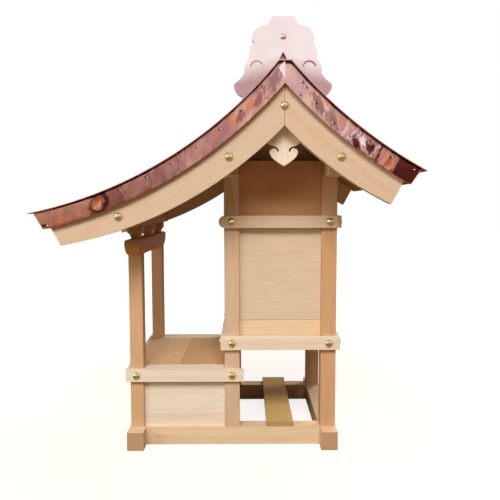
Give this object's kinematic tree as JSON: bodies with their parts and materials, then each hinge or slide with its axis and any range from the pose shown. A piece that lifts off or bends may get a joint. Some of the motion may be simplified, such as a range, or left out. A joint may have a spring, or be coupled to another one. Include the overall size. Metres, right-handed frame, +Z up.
{
  "type": "outdoor household shrine",
  "caption": "Small free-standing outdoor shrine: open-based cypress body with a pillared porch under a curved, copper-clad gable roof with bargeboards, pendants and a ridge box.",
  "frame": {"origin": "on the ground under the middle of the whole shrine", "axes": "+X to the right-hand gable, -Y out of the porch front, +Z up"},
  "size_m": [0.394, 0.5118, 0.6065],
  "materials": {
    "hinoki_frame": "planed, unfinished",
    "hinoki_board": "planed, unfinished",
    "hinoki_trim": "planed, unfinished",
    "copper_sheet": null
  },
  "bodies": {
    "root": {"back_bargeboards": "hinoki_trim", "back_copper_sheet": "copper_sheet", "back_post_left": "hinoki_frame", "back_post_right": "hinoki_frame", "back_purlin": "hinoki_frame", "back_roof_board": "hinoki_board", "back_sill": "hinoki_frame", "back_wall": "hinoki_board", "chamber_floor": "hinoki_board", "doors": "hinoki_trim", "eave_bands": "copper_sheet", "floor_back_rail": "hinoki_trim", "floor_front_rail": "hinoki_trim", "floor_side_rails": "hinoki_trim", "front_bargeboards": "hinoki_trim", "front_copper_sheet": "copper_sheet", "front_post_left": "hinoki_frame", "front_post_right": "hinoki_frame", "front_purlin": "hinoki_frame", "front_roof_board": "hinoki_board", "front_sill": "hinoki_frame", "gable_boards": "hinoki_board", "gable_pendants": "hinoki_trim", "lintel": "hinoki_frame", "porch_beam": "hinoki_frame", "porch_blocks": "hinoki_frame", "porch_floor": "hinoki_board", "porch_front_panel": "hinoki_board", "porch_front_rail": "hinoki_trim", "porch_joists": "hinoki_frame", "porch_post_left": "hinoki_frame", "porch_post_right": "hinoki_frame", "porch_purlin": "hinoki_frame", "porch_side_panels": "hinoki_board", "porch_side_rails": "hinoki_trim", "ridge_box": "copper_sheet", "ridge_plates": "copper_sheet", "ridge_purlin": "hinoki_frame", "ridge_strip": "copper_sheet", "riser_board": "hinoki_board", "side_sills": "hinoki_frame", "side_walls": "hinoki_board", "tie_board": "hinoki_board", "transom_panel": "hinoki_board", "upper_back_rail": "hinoki_trim", "upper_side_rails": "hinoki_trim", "verge_bands": "copper_sheet"}
  },
  "joints": []
}
